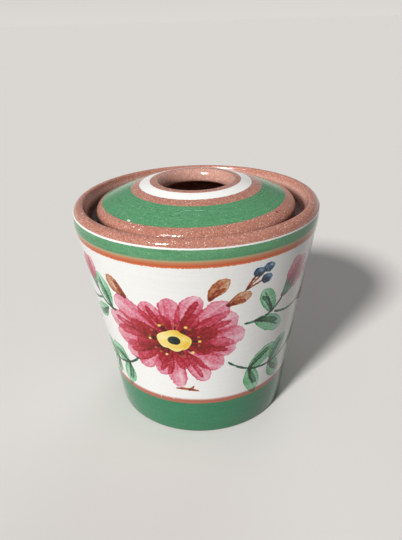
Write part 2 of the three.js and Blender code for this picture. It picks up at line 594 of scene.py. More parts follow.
def bell(base, heading, length):
    """A bell flower from the side: flared petals, a deeper one in front and a green cap."""
    for spread, size, coat, load in BELL_PETALS:
        tip = ahead(base, heading + spread, length * size)
        middle = ahead(base, heading + spread * 0.3, length * 0.55)
        stroke(coat, (base, middle, tip), length * 0.44, CRIMSON, load, start=0.35, swell=0.7, fray=0.3)
    for spread in (-0.6, 0.0, 0.6):
        tip = ahead(base, heading + spread, length * 0.38)
        stroke("body", (base, base, tip), length * 0.13, DARK_GREEN, (0.8, 0.7), start=0.7, swell=0.5)


def berries(places, size=3.4):
    """Blue berries, each on a short brown stalk."""
    foot = (places[0][0] - 4, places[0][1] - 6)
    for spot in places:
        stroke("lines", arc(foot, spot, 0.6), 0.8, BROWN, (0.8, 0.9), start=0.8, swell=0.5)
        dab(spot, size, BLUE, "wash", (1.0, 0.5))
        dab((spot[0] + size * 0.15, spot[1] - size * 0.15), size * 0.5, BLUE, "deep", (0.7, 0.5))


print("petals seen on a bell", len(BELL_PETALS))

# %% Dry leaves and twigs
FORK_SHARE = 0.55
SHOOT_SHARE = 0.35


def dry_leaf(base, heading, length, width):
    """A curled brown leaf in one wash with a darker side."""
    tip = ahead(base, heading, length)
    stroke("wash", arc(base, tip, 1.2), width, BROWN, (0.85, 0.4), start=0.4, fray=0.2)
    side = ahead(base, heading - 0.2, length * 0.7)
    stroke("deep", arc(base, side, 0.8), width * 0.35, BROWN, (0.7, 0.5), start=0.5, swell=0.5)


def twig(base, heading, length):
    """A brown twig with a short side shoot."""
    tip = ahead(base, heading, length)
    stroke("lines", arc(base, tip, 1.0), 1.2, BROWN, (0.9, 0.6), start=0.6, swell=0.5)
    fork = ahead(base, heading, length * FORK_SHARE)
    shoot = (fork, fork, ahead(fork, heading + 0.9, length * SHOOT_SHARE))
    stroke("lines", shoot, 1.0, BROWN, (0.8, 0.6), start=0.7, swell=0.5)


print("a twig forks at", FORK_SHARE, "of its length, into a shoot of", SHOOT_SHARE, "of it")

# %% [markdown]
# The front has the largest flower, a little off the middle, and its sprays run round the sides.
# The back has a second flower between mirrored sprays. The places could be drawn by chance,
# but a pattern that is meant to look balanced has its places given one by one.


# %% Arranging the pattern round the wall
def painted_share():
    """How much of the white field has paint on it."""
    return round(float(np.mean(np.max(list(edge_of.values()), 0) > 0)), 2)


flower((-9, 45), 26, 20, 8, 0.3)
spray(((10, 34), (22, 23), (41, 30)), 2, 14, 7.5)
stem(((15, 50), (25, 49), (30, 57)))
leaf((19, 50), -0.5, 14, 7, 1)
leaf((25, 52), 2.0, 11, 6, -1)
bell((30, 57), 0.85, 15)
stem(((27, 51), (34, 48), (41, 50)))
bell((41, 50), 0.1, 11)
dry_leaf((3, 62), 0.85, 9, 5)
dry_leaf((9, 59), 0.35, 8, 4.5)
berries([(18, 69.5), (21.5, 70.5), (21, 66.5)])
spray(((-25, 33), (-33, 24), (-50, 27)), 2, 12, 7)
stem(((-31, 52), (-37, 52), (-40, 58)))
leaf((-33, 53), 1.9, 13, 6.5, -1)
leaf((-36, 51), 3.6, 12, 6, 1)
bell((-40, 58), 1.9, 13)
stem(((-39, 54), (-48, 50), (-54, 54)))
bell((-54, 54), 2.9, 12)
dry_leaf((-25, 60), 2.3, 9, 5)
twig((-10, 22.5), -0.1, 9)
berries([(-50, 41), (-53.5, 39), (-54, 43)])
print("share of the white field painted with the front done", painted_share())

# %% Arranging the pattern on the back
flower((117, 45), 24, 19, 8, 0.7)
spray(((97, 35), (85, 25), (68, 32)), 2, 14, 7.5)
spray(((137, 35), (149, 25), (166, 32)), 2, 14, 7.5)
stem(((95, 51), (86, 51), (81, 58)))
leaf((90, 51), 3.0, 13, 6.5, -1)
bell((81, 58), 2.3, 14)
stem(((139, 51), (148, 51), (153, 58)))
leaf((144, 51), -0.1, 13, 6.5, 1)
bell((153, 58), 0.9, 14)
dry_leaf((104, 27), 3.6, 8, 4.5)
berries([(170, 53), (173, 56), (175, 51.5)])
berries([(64, 56), (67, 59), (69, 54)])
twig((120, 22), 0.1, 9)
print("share of the white field painted all round", painted_share())

# %% Handing the strokes to the mesh
attributes = jar.data.attributes
for name in COATS:
    edges = np.full(len(spots), FAR_OFF)
    edges[on_wall] = edge_of[name]
    colours = np.ones((len(spots), 4))
    colours[on_wall, :3] = np.exp(-stain_of[name] / cover_of[name][:, None])
    attributes.new(name + "_edge", "FLOAT", "POINT").data.foreach_set("value", edges)
    attributes.new(name + "_paint", "FLOAT_COLOR", "POINT").data.foreach_set("color", colours.ravel())
print("attributes on the jar", len(attributes))

# %% [markdown]
# The body is red earthenware, common brick clay fired to about 1050 C. It isn't one red: fine
# sandy grains, paler flecks and darker pits show through the clear glaze, and the glaze over
# each grain lifts a little, which makes the highlights glitter. One noise could tint it, but
# grains are separate things with hard edges, so cells of a Voronoi texture make them. The
# grain of real clay is about 0.2 mm. It is 0.35 mm here, and the sand 0.42 mm, as coarse as
# they need to be to show.

# %% Grains in some of the cells
GRAIN_MM = 0.35
SAND_AND_GLINT_MM = 0.42
FLECK_MM = 0.8
CLOUD_MM = 9.0
FEATURES_PER_UNIT = 1.6


def per_mm(size):
    """Noise scale for features of about this size in mm. A scale of 1 gives 1.6 to the metre."""
    return 1 / (size * MM * FEATURES_PER_UNIT)


def specks(tree, place, cell_mm, share, size):
    """Dots in some of the cells, and a second chance from 0 to 1 for each cell to choose a colour by."""
    cells = node(tree, "ShaderNodeTexVoronoi", {"Vector": place, "Scale": 1 / (cell_mm * MM)})
    chance = node(tree, "ShaderNodeSeparateColor", {0: cells.outputs["Color"]}).outputs
    chosen = node(tree, "ShaderNodeMath", {0: chance[0], 1: 1 - share}, operation="GREATER_THAN").outputs[0]
    dot = node(tree, "ShaderNodeMapRange", {
        "Value": cells.outputs["Distance"], "From Min": size, "From Max": size * 0.4,
    }).outputs[0]
    return node(tree, "ShaderNodeMath", {0: chosen, 1: dot}, operation="MULTIPLY").outputs[0], chance[1]


print("noise scale of the grain", round(per_mm(GRAIN_MM)), "to the metre")

# %% The fired body
CLAY_REDS = ("#BA7A67", "#CB927F")
GRAIN_SHADE = "#D6CCC8"
NO_SHADE = "#FFFFFF"


def clay_ground(tree, place, grain):
    """Two reds in soft clouds, shaded by the grain."""
    cloud = node(tree, "ShaderNodeTexNoise", {"Vector": place, "Scale": per_mm(CLOUD_MM), "Detail": 3})
    base = node(tree, "ShaderNodeMix", {
        0: cloud.outputs["Fac"], "A": paint(CLAY_REDS[0]), "B": paint(CLAY_REDS[1]),
    }, data_type="RGBA")
    sandy = node(tree, "ShaderNodeMapRange", {"Value": grain, "From Min": 0.35, "From Max": 0.65})
    tinted = node(tree, "ShaderNodeMix", {
        0: sandy.outputs["Result"], "A": paint(GRAIN_SHADE), "B": paint(NO_SHADE),
    }, data_type="RGBA")
    return node(tree, "ShaderNodeMix", {
        0: 1.0, "A": base.outputs["Result"], "B": tinted.outputs["Result"],
    }, data_type="RGBA", blend_type="MULTIPLY").outputs["Result"]


print("the two reds", CLAY_REDS)

# %% Sand and flecks in it
# The palest specks are near white: partly sand grains, partly painted glints of the glaze.
SAND_AND_GLINTS = {"share": 0.27, "size": 0.37, "colours": ("#D29F8E", "#FFF6F2")}
FLECKS = {"share": 0.22, "size": 0.26, "colours": ("#6E3A2C", "#F8E9E2")}
DARK_FLECKS = 0.4


def sprinkled(tree, ground, place):
    """Pale sandy specks of any shade, the palest of them partly painted glints, and larger flecks that
    are either dark or pale. Gives back the colour and where the flecks are."""
    sand_and_glint, shade = specks(tree, place, SAND_AND_GLINT_MM, SAND_AND_GLINTS["share"], SAND_AND_GLINTS["size"])
    sand_and_glint_colour = node(tree, "ShaderNodeMix", {
        0: shade, "A": paint(SAND_AND_GLINTS["colours"][0]), "B": paint(SAND_AND_GLINTS["colours"][1]),
    }, data_type="RGBA")
    with_sand_and_glints = node(tree, "ShaderNodeMix", {
        0: sand_and_glint, "A": ground, "B": sand_and_glint_colour.outputs["Result"],
    }, data_type="RGBA")
    fleck, shade = specks(tree, place, FLECK_MM, FLECKS["share"], FLECKS["size"])
    pale = node(tree, "ShaderNodeMath", {0: shade, 1: DARK_FLECKS}, operation="GREATER_THAN")
    fleck_colour = node(tree, "ShaderNodeMix", {
        0: pale.outputs[0], "A": paint(FLECKS["colours"][0]), "B": paint(FLECKS["colours"][1]),
    }, data_type="RGBA")
    return node(tree, "ShaderNodeMix", {
        0: fleck, "A": with_sand_and_glints.outputs["Result"], "B": fleck_colour.outputs["Result"],
    }, data_type="RGBA").outputs["Result"], fleck


print("share of the cells with sand", SAND_AND_GLINTS["share"], "and with a fleck", FLECKS["share"])


# %% Red clay as a node group
def clay_group():
    """Red earthenware as all the finishes use it: its colour, its grain and its flecks."""
    tree = bpy.data.node_groups.new("red_clay", "ShaderNodeTree")
    for name, kind in (("Color", "Color"), ("Grain", "Float"), ("Fleck", "Float")):
        tree.interface.new_socket(name, in_out="OUTPUT", socket_type="NodeSocket" + kind)
    place = node(tree, "ShaderNodeTexCoord").outputs["Object"]
    noise = node(tree, "ShaderNodeTexNoise", {"Vector": place, "Scale": per_mm(GRAIN_MM), "Detail": 2})
    grain = noise.outputs["Fac"]
    colour, fleck = sprinkled(tree, clay_ground(tree, place, grain), place)
    node(tree, "NodeGroupOutput", {0: colour, 1: grain, 2: fleck})
    return tree


red_clay = clay_group()
print("clay nodes", len(red_clay.nodes))

# %% [markdown]
# A coat of paint is a stain under the glaze. Light passes it twice, so its colour deepens by a
# power law with its thickness, which is what the Gamma node does. Mixing in a flat colour would
# look like a sticker. A brush leaves most paint at its edge, where the water dries last, and
# the grain of the slip shows through thin washes.

# %% A coat of paint as a node group
CRISP_EDGE_MM = (-0.06, 0.1)
POOL_MM = 0.9
POOL_DEPTH = (1.45, 0.95)
COAT_MOTTLE = (0.6, 1.36)


def coat_group():
    """Paint laid over a ground: Edge is the distance inside the stroke in mm, and Waver moves it."""
    tree = bpy.data.node_groups.new("underglaze_coat", "ShaderNodeTree")
    kinds = {"Ground": "Color", "Paint": "Color", "Edge": "Float", "Waver": "Float", "Grain": "Float"}
    for name, kind in kinds.items():
        tree.interface.new_socket(name, in_out="INPUT", socket_type="NodeSocket" + kind)
    tree.interface.new_socket("Color", in_out="OUTPUT", socket_type="NodeSocketColor")
    given = node(tree, "NodeGroupInput").outputs
    edge = node(tree, "ShaderNodeMath", {
        0: given["Waver"], 1: 0.5, 2: given["Edge"],
    }, operation="MULTIPLY_ADD").outputs[0]
    mask = node(tree, "ShaderNodeMapRange", {
        "Value": edge, "From Min": CRISP_EDGE_MM[0], "From Max": CRISP_EDGE_MM[1],
    })
    pool = node(tree, "ShaderNodeMapRange", {
        "Value": edge, "From Min": CRISP_EDGE_MM[1], "From Max": POOL_MM,
        "To Min": POOL_DEPTH[0], "To Max": POOL_DEPTH[1],
    }, interpolation_type="SMOOTHSTEP")
    mottle = node(tree, "ShaderNodeMapRange", {
        "Value": given["Grain"], "From Min": 0.32, "From Max": 0.68,
        "To Min": COAT_MOTTLE[0], "To Max": COAT_MOTTLE[1],
    })
    thick = node(tree, "ShaderNodeMath", {0: pool.outputs[0], 1: mottle.outputs[0]}, operation="MULTIPLY")
    thick = node(tree, "ShaderNodeMath", {0: thick.outputs[0], 1: mask.outputs[0]}, operation="MULTIPLY")
    tint = node(tree, "ShaderNodeGamma", {"Color": given["Paint"], "Gamma": thick.outputs[0]})
    stained = node(tree, "ShaderNodeMix", {
        0: 1.0, "A": given["Ground"], "B": tint.outputs[0],
    }, data_type="RGBA", blend_type="MULTIPLY")
    node(tree, "NodeGroupOutput", {0: stained.outputs["Result"]})
    return tree


underglaze_coat = coat_group()
print("coat nodes", len(underglaze_coat.nodes))

# %% [markdown]
# Coloured slip, a liquid clay, is laid with a brush while the pot turns, so its faint streaks
# run round the pot and each edge wavers a little. Bands could be faces with materials of their
# own, but then their edges would be as stiff as the mesh. A mask for each band keeps the edge
# soft and wavering. Bands are listed from the bottom up or from the middle out, and each
# covers all that lies past its edge.

# %% Banding a material
HAND_MM = 4.0
FINE_MM = 0.5


def banded(tree, position, wobble, sideways, bands):
    """Colour by position in mm. Each band is (starts at, softness, wobble, lean, colour), and lean
    is how far its edge has moved on the right of the pot, since no band is laid quite true."""
    colour = bands[0][-1]
    for starts_at, softness, amount, lean, band_colour in bands[1:]:
        leaning = node(tree, "ShaderNodeMath", {
            0: sideways, 1: -lean, 2: position,
        }, operation="MULTIPLY_ADD").outputs[0]
        moved = node(tree, "ShaderNodeMath", {0: wobble, 1: amount, 2: leaning}, operation="MULTIPLY_ADD")
        mask = node(tree, "ShaderNodeMapRange", {
            "Value": moved.outputs[0], "From Min": starts_at - softness, "From Max": starts_at + softness,
        }, interpolation_type="SMOOTHSTEP")
        colour = node(tree, "ShaderNodeMix", {
            0: mask.outputs["Result"], "A": colour, "B": band_colour,
        }, data_type="RGBA").outputs["Result"]
    return colour


def wavering(tree, place):
    """Two waverings from about -0.5 to 0.5: a slow one of the hand and a fine one of the grain."""
    made = []
    for size in (HAND_MM, FINE_MM):
        noise = node(tree, "ShaderNodeTexNoise", {"Vector": place, "Scale": per_mm(size), "Detail": 2})
        middle = node(tree, "ShaderNodeMath", {0: noise.outputs["Fac"], 1: 0.5}, operation="SUBTRACT")
        made.append(middle.outputs[0])
    return made


print("band edges waver every", HAND_MM, "mm by the hand and every", FINE_MM, "mm by the grain")

# %% Slip that lies thin or thick
STREAK_MM = 0.45
MOTTLE_MM = 0.5


def laid(tree, place, streak, thin, thick):
    """Slip in streaks round the pot, mottled by the clay under it."""
    mottle = node(tree, "ShaderNodeTexNoise", {"Vector": place, "Scale": per_mm(MOTTLE_MM), "Detail": 4})
    both = node(tree, "ShaderNodeMath", {0: streak, 1: mottle.outputs["Fac"]}, operation="ADD")
    spread = node(tree, "ShaderNodeMapRange", {"Value": both.outputs[0], "From Min": 0.75, "From Max": 1.25})
    return node(tree, "ShaderNodeMix", {
        0: spread.outputs[0], "A": paint(thick), "B": paint(thin),
    }, data_type="RGBA").outputs["Result"]


def flecked(tree, colour, fleck, fleck_colour, strength):
    """Specks of the clay that come up through the slip."""
    shown = node(tree, "ShaderNodeMath", {0: fleck, 1: strength}, operation="MULTIPLY").outputs[0]
    return node(tree, "ShaderNodeMix", {
        0: shown, "A": colour, "B": paint(fleck_colour),
    }, data_type="RGBA").outputs["Result"]


print("streaks in the slip are about", STREAK_MM, "mm wide")

# %% [markdown]
# Years of use have left fine scratches on the lid, and small chips where the lid and the rim
# have knocked against things. Chips could be cut into the mesh, but at half a millimetre they
# are spots of another colour to the eye. So each is a ragged spot in the material, most of
# them on the edges, which knocks reach first. The pale spots are partly chips and partly
# painted glints, highlights painted where light catches an edge.

# %% Scratches
MARK_MM = (2.5, 0.28, 2.5)
PATCH_MM = 9


def scratched(tree, colour, place, turn, mark):
    """Fine short scratches of use that all run one way, in a few patches."""
    along_mark = node(tree, "ShaderNodeMapping", {
        "Vector": place, "Rotation": (0, 0, turn), "Scale": [per_mm(size) for size in MARK_MM],
    })
    mark_noise = node(tree, "ShaderNodeTexNoise", {"Vector": along_mark.outputs[0], "Scale": 1, "Detail": 1})
    thread = node(tree, "ShaderNodeMapRange", {
        "Value": mark_noise.outputs["Fac"], "From Min": 0.68, "From Max": 0.72,
    })
    patch_noise = node(tree, "ShaderNodeTexNoise", {"Vector": place, "Scale": per_mm(PATCH_MM)})
    patch = node(tree, "ShaderNodeMapRange", {
        "Value": patch_noise.outputs["Fac"], "From Min": 0.5, "From Max": 0.6,
    })
    mask = node(tree, "ShaderNodeMath", {0: thread.outputs[0], 1: patch.outputs[0]}, operation="MULTIPLY")
    return node(tree, "ShaderNodeMix", {
        0: mask.outputs[0], "A": colour, "B": paint(mark),
    }, data_type="RGBA").outputs["Result"]


print("scratches are about", MARK_MM[0], "mm long and", MARK_MM[1], "mm wide")

# %% Chips, nicks and painted glints
CHIP_RAGGED_MM = 0.4
# Pale spots: partly chips, partly painted glints where light catches an edge.
PALE_CHIP_AND_GLINT = "#F4EAE3"
DARK_CHIP = "#2A1812"
CLAY_CHIP = "#CC9A85"
GREEN_NICK = "#31523D"
# Pale green spots on the foot: partly chips, partly painted glints.
SLIP_CHIP_AND_GLINT = "#A9CDBB"


def chipped_and_glinting(tree, colour, place, chips_and_glints):
    """Small marks of wear and painted glints, each (degrees round from the front, radius, height, size in mm,
    colour).
    """
    ragged_noise = node(tree, "ShaderNodeTexNoise", {
        "Vector": place, "Scale": per_mm(CHIP_RAGGED_MM), "Detail": 2,
    })
    for side, radius, height, size, mark in chips_and_glints:
        turn = math.radians(side)
        centre = (radius * math.sin(turn) * MM, -radius * math.cos(turn) * MM, height * MM)
        away = node(tree, "ShaderNodeVectorMath", {0: place, 1: centre}, operation="DISTANCE")
        edge = node(tree, "ShaderNodeMath", {
            0: ragged_noise.outputs["Fac"], 1: size * MM, 2: away.outputs["Value"],
        }, operation="MULTIPLY_ADD")
        mask = node(tree, "ShaderNodeMapRange", {
            "Value": edge.outputs[0], "From Min": size * 1.15 * MM, "From Max": size * 0.85 * MM,
        })
        colour = node(tree, "ShaderNodeMix", {
            0: mask.outputs[0], "A": colour, "B": paint(mark),
        }, data_type="RGBA").outputs["Result"]
    return colour


print("chips are ragged every", CHIP_RAGGED_MM, "mm")

# %% Where the chips and painted glints are
JAR_CHIPS_AND_GLINTS = [
    (-155, 43.6, 82.2, 0.7, PALE_CHIP_AND_GLINT),
    (-174, 43.6, 82.2, 0.6, PALE_CHIP_AND_GLINT),
    (-117, 43.5, 82.3, 0.7, PALE_CHIP_AND_GLINT),
    (-66, 42.0, 82.7, 0.6, PALE_CHIP_AND_GLINT),
    (33, 44.5, 79.0, 0.5, CLAY_CHIP),
    (104, 43.8, 82.0, 0.6, PALE_CHIP_AND_GLINT),
    (148, 44.5, 78.6, 0.5, CLAY_CHIP),
    (-56.5, 34.1, 3.5, 0.45, SLIP_CHIP_AND_GLINT),
    (-51, 34.2, 3.8, 0.5, SLIP_CHIP_AND_GLINT),
    (-25, 35.7, 17.0, 0.45, PALE_CHIP_AND_GLINT),
    (-17, 35.7, 17.0, 0.45, PALE_CHIP_AND_GLINT),
]
LID_CHIPS_AND_GLINTS = [
    (52, 33.8, 82.4, 0.75, DARK_CHIP),
    (55, 34.0, 82.3, 0.55, DARK_CHIP),
    # The pale spots on the lid's front left edge, which faces the main light, are painted glints.
    (-42, 33.2, 82.6, 0.6, PALE_CHIP_AND_GLINT),
    (-40.7, 33.3, 82.6, 0.8, PALE_CHIP_AND_GLINT),
    (-33, 34.0, 82.3, 0.4, PALE_CHIP_AND_GLINT),
    (-31, 35.4, 81.5, 0.5, PALE_CHIP_AND_GLINT),
    (-38.5, 34.0, 82.3, 0.45, PALE_CHIP_AND_GLINT),
    (-35, 35.0, 81.8, 0.6, PALE_CHIP_AND_GLINT),
    (-28, 27.0, 85.1, 0.4, GREEN_NICK),
    (-26.5, 27.4, 84.9, 0.35, GREEN_NICK),
    (-11, 28.0, 84.8, 0.35, GREEN_NICK),
    (140, 30.0, 84.0, 0.4, GREEN_NICK),
]
print("marks of use", len(JAR_CHIPS_AND_GLINTS) + len(LID_CHIPS_AND_GLINTS))

# %% [markdown]
# The corner between the lid's edge and the gallery is a narrow crevice where shade falls, so the
# clay there is painted darker: painted shade. Ambient occlusion could darken it, but it would
# change as the lid is lifted, and this painted shade stays where it is. So the tint goes by the
# distance from a ring that runs along that corner. Clay in the throat and inside the rim is
# painted a shade paler: painted light.

# %% Painted shade in the gallery
GALLERY_CORNER = (37.8 * MM, 0, 76.6 * MM)
GALLERY_SHADE_FADE_MM = (4.6, 2.2)
GALLERY_SHADE_COLOUR = "#6E625E"
PAINTED_LIGHT_GAMMA = 0.76


def from_axis(tree, place):
    """Distance from the pot's axis."""
    flat = node(tree, "ShaderNodeVectorMath", {0: place, 1: (1, 1, 0)}, operation="MULTIPLY")
    return node(tree, "ShaderNodeVectorMath", {0: flat.outputs[0]}, operation="LENGTH").outputs["Value"]


def painted_gallery_shade(tree, colour, place):
    """Painted shade: darkens the clay round the corner, the more the nearer it is."""
    height = node(tree, "ShaderNodeSeparateXYZ", {0: place}).outputs["Z"]
    outline = node(tree, "ShaderNodeCombineXYZ", {0: from_axis(tree, place), 2: height})
    away = node(tree, "ShaderNodeVectorMath", {
        0: outline.outputs[0], 1: GALLERY_CORNER,
    }, operation="DISTANCE")
    mask = node(tree, "ShaderNodeMapRange", {
        "Value": away.outputs["Value"], "From Min": GALLERY_SHADE_FADE_MM[0] * MM, "From Max": GALLERY_SHADE_FADE_MM[1] * MM,
    }, interpolation_type="SMOOTHSTEP")
    return node(tree, "ShaderNodeMix", {
        0: mask.outputs["Result"], "A": colour, "B": paint(GALLERY_SHADE_COLOUR),
    }, data_type="RGBA", blend_type="MULTIPLY").outputs["Result"]


def painted_paler_light(tree, colour):
    """Painted light: clay made a shade paler."""
    return node(tree, "ShaderNodeGamma", {"Color": colour, "Gamma": PAINTED_LIGHT_GAMMA}).outputs[0]


# The painted shade reaches this far from the corner.
print("dust reaches", GALLERY_SHADE_FADE_MM[0], "mm from the corner")

# %% [markdown]
# A clear earthenware glaze is a layer of glass about a tenth of a millimetre thick, with an
# IOR of about 1.5. It could be a second, transparent shell, but the shader's coat gives the
# same highlight without the noise of real refraction. The glass rides over each grain of the
# clay, so the highlights glitter there, and it is smoother where slip has filled the grain.

# %% Clear glaze
GLAZE_LIFT_MM = 0.1
OVER_CLAY = (1.0, 1.0, 1.0, 1.0)
OVER_SLIP = (0.35, 0.35, 0.35, 1.0)


def glaze_shader(tree, colour, grain, over=1.0):
    """Clear glaze over a colour. over is how much of the grain comes through it."""
    height = node(tree, "ShaderNodeMath", {0: grain, 1: over}, operation="MULTIPLY").outputs[0]
    bump = node(tree, "ShaderNodeBump", {"Height": height, "Strength": 1.0, "Distance": GLAZE_LIFT_MM * MM})
    shader = node(tree, "ShaderNodeBsdfPrincipled", {
        "Base Color": colour, "Roughness": 0.45, "Specular IOR Level": 0.0, "Coat Weight": 1.0,
        "Coat Roughness": 0.07, "Coat IOR": 1.5, "Normal": bump.outputs[0],
        "Coat Normal": bump.outputs[0],
    })
    node(tree, "ShaderNodeOutputMaterial", {"Surface": shader.outputs[0]})


def material_tree(name):
    """A new material without its first nodes, and its node tree."""
    made = bpy.data.materials.new(name)
    made.use_nodes = True
    made.node_tree.nodes.clear()
    return made, made.node_tree


print("the glaze lifts by up to", GLAZE_LIFT_MM, "mm over a grain")

# %% [markdown]
# The wall has the most work in it: green foot, red line, white field with the painting, rust
# band that melts into green, and a thread of white under the bare rim. All of it goes by the
# height, so one list of bands says it from the bottom up. The painting is laid over them coat
# by coat, and chips over that, in the order in which they came on the real pot.

# %% Colours of the slips
GREEN_SLIP = ("#609C6E", "#468359")
FOOT_SLIP = ("#35825B", "#2E7853")
WHITE_SLIP = ("#F4F3EF", "#F1EFEA")
RUST_SLIP = ("#DA7340", "#C45C33", "#C8784D")
RUST_INTO_GREEN = ("#BC966E", "#A19E78")
FOOT_RIM = "#8A5A44"
FOOT_LINE = "#B3664F"
FLECKS_IN_GREEN = ("#B9C9A4", 0.5)
FLECKS_IN_FOOT = ("#9DB89A", 0.3)
FLECKS_IN_WHITE = ("#D9CDB8", 0.2)
print("slips", GREEN_SLIP, FOOT_SLIP, WHITE_SLIP, RUST_SLIP)

# %% Bands from the foot up
ROUND_POT_SCALE = 60


def wall_slips(tree, place, clay):
    """The green, the foot's green and the white, with streaks about 10 mm long round the pot."""
    round_pot = node(tree, "ShaderNodeMapping", {
        "Vector": place, "Scale": (ROUND_POT_SCALE, ROUND_POT_SCALE, per_mm(STREAK_MM)),
    })
    streak = node(tree, "ShaderNodeTexNoise", {"Vector": round_pot.outputs[0], "Scale": 1, "Detail": 3})
    pairs = ((GREEN_SLIP, FLECKS_IN_GREEN), (FOOT_SLIP, FLECKS_IN_FOOT), (WHITE_SLIP, FLECKS_IN_WHITE))
    slips = []
    for slip, flecks in pairs:
        colour = laid(tree, place, streak.outputs["Fac"], *slip)
        slips.append(flecked(tree, colour, clay.outputs["Fleck"], *flecks))
    return slips


def wall_bands(tree, place, height_mm, sideways, fine, clay):
    """All the slips of the wall, and the bare clay of the rim."""
    green, foot_green, white = wall_slips(tree, place, clay)
    rust, deep_rust, pale_rust = (paint(colour) for colour in RUST_SLIP)
    brown, olive = (paint(colour) for colour in RUST_INTO_GREEN)
    return banded(tree, height_mm, fine, sideways, [
        (0, 0, 0, 0, paint(FOOT_RIM)),
        (0.5, 0.2, 0.6, 0, foot_green),
        (15.25, 0.2, 0.3, 0, paint(FOOT_LINE)),
        (17.35, 0.7, 0.3, 0, white),
        (WHITE_FIELD[1] + 0.05, 0.12, 0.9, 0, rust),
        (74.2, 0.25, 0.5, 0.05, deep_rust),
        (75.0, 0.35, 0.3, 0.1, pale_rust),
        (75.75, 0.25, 0.2, 0.15, brown),
        (76.2, 0.2, 0.2, 0.15, olive),
        (76.55, 0.2, 0.2, 0.15, green),
        (SLIP_EDGE - 0.55, 0.08, 0.2, -0.35, white),
        (SLIP_EDGE, 0.05, 0.15, -0.35, clay.outputs["Color"]),
    ])


print("streaks are", round(1 / (ROUND_POT_SCALE * FEATURES_PER_UNIT * MM)), "mm long")

# %% The painting over the bands
BRUSH_MOTTLE_MM = 0.5
HAND_SHARE = 0.6


def painted(tree, ground, place, hand, fine):
    """Lays the stains over the ground one by one, and the covers over them."""
    waver = node(tree, "ShaderNodeMath", {0: hand, 1: HAND_SHARE, 2: fine}, operation="MULTIPLY_ADD")
    mottle = node(tree, "ShaderNodeTexNoise", {
        "Vector": place, "Scale": per_mm(BRUSH_MOTTLE_MM), "Detail": 3,
    })
    for name in COATS:
        edge = node(tree, "ShaderNodeAttribute", attribute_name=name + "_edge").outputs["Fac"]
        colour = node(tree, "ShaderNodeAttribute", attribute_name=name + "_paint").outputs["Color"]
        if name in STAINS:
            ground = node(tree, "ShaderNodeGroup", {
                "Ground": ground, "Paint": colour, "Edge": edge,
                "Waver": waver.outputs[0], "Grain": mottle.outputs["Fac"],
            }, node_tree=underglaze_coat).outputs["Color"]
        else:
            mask = node(tree, "ShaderNodeMapRange", {
                "Value": edge, "From Min": CRISP_EDGE_MM[0], "From Max": CRISP_EDGE_MM[1],
            })
            ground = node(tree, "ShaderNodeMix", {
                0: mask.outputs[0], "A": ground, "B": colour,
            }, data_type="RGBA").outputs["Result"]
    return ground


print("coats laid one by one", len(COATS))


# %% Glazed slip and painting on the wall
def wall_material():
    """Glazed slip decoration: smooth and bright on the slip, glittering on the bare rim."""
    made, tree = material_tree("glazed_slip_decoration")
    place = node(tree, "ShaderNodeTexCoord").outputs["Object"]
    axes = node(tree, "ShaderNodeSeparateXYZ", {0: place}).outputs
    height_mm = node(tree, "ShaderNodeMath", {0: axes["Z"], 1: 1 / MM}, operation="MULTIPLY").outputs[0]
    sideways = node(tree, "ShaderNodeMath", {
        0: axes["X"], 1: 1 / (RIM_RADIUS * MM),
    }, operation="MULTIPLY").outputs[0]
    hand, fine = wavering(tree, place)
    clay = node(tree, "ShaderNodeGroup", node_tree=red_clay)
    ground = wall_bands(tree, place, height_mm, sideways, fine, clay)
    ground = painted(tree, ground, place, hand, fine)
    ground = chipped_and_glinting(tree, ground, place, JAR_CHIPS_AND_GLINTS)
    over = banded(tree, height_mm, fine, sideways, [
        (0, 0, 0, 0, OVER_SLIP),
        (SLIP_EDGE + 1.5, 0.4, 0.6, 0, OVER_CLAY),
    ])
    glaze_shader(tree, ground, clay.outputs["Grain"], over)
    return made


wall_finish = wall_material()
print("nodes in the wall's finish", len(wall_finish.node_tree.nodes))

# %% [markdown]
# The lid has the same slips laid in rings, so its bands go by the distance from its axis, and
# its streaks are rings too. What comes through the glaze goes by the same rings: bare clay
# lifts it fully, and slip hardly at all.

# %% Rings from the throat out
RING_EDGES = (
    (0, 0, 0, 0),
    (14.4, 0.3, 0.2, 0),
    (16.54, 0.1, 0.3, 0),
    (20.33, 0.1, 0.5, 0),
    (23.7, 0.1, 0.3, 0.5),
    (33.2, 0.1, 0.4, -0.9),
)
RING_LIFTS = (OVER_CLAY, OVER_CLAY, OVER_SLIP, OVER_CLAY, OVER_SLIP, OVER_CLAY)
UNSTEADY_MM = 3.0
PALE_SCRATCHES = (0.5, "#86B68F")
DARK_SCRATCHES = (-0.9, "#3A5F47")
FLECKS_IN_LID = ("#BFD2B4", 0.55)


def lid_green(tree, place, radius_mm, hand, clay):
    """Green slip in streaks that run round the lid, scratched two ways and flecked."""
    unsteady = node(tree, "ShaderNodeMath", {0: hand, 1: UNSTEADY_MM, 2: radius_mm}, operation="MULTIPLY_ADD")
    rings = node(tree, "ShaderNodeCombineXYZ", {0: unsteady.outputs[0]})
    streak = node(tree, "ShaderNodeTexNoise", {
        "Vector": rings.outputs[0], "Scale": 1 / STREAK_MM, "Detail": 2,
    })
    green = laid(tree, place, streak.outputs["Fac"], *GREEN_SLIP)
    for turn, mark in (PALE_SCRATCHES, DARK_SCRATCHES):
        green = scratched(tree, green, place, turn, mark)
    return flecked(tree, green, clay.outputs["Fleck"], *FLECKS_IN_LID)


print("rings on the lid", len(RING_EDGES))


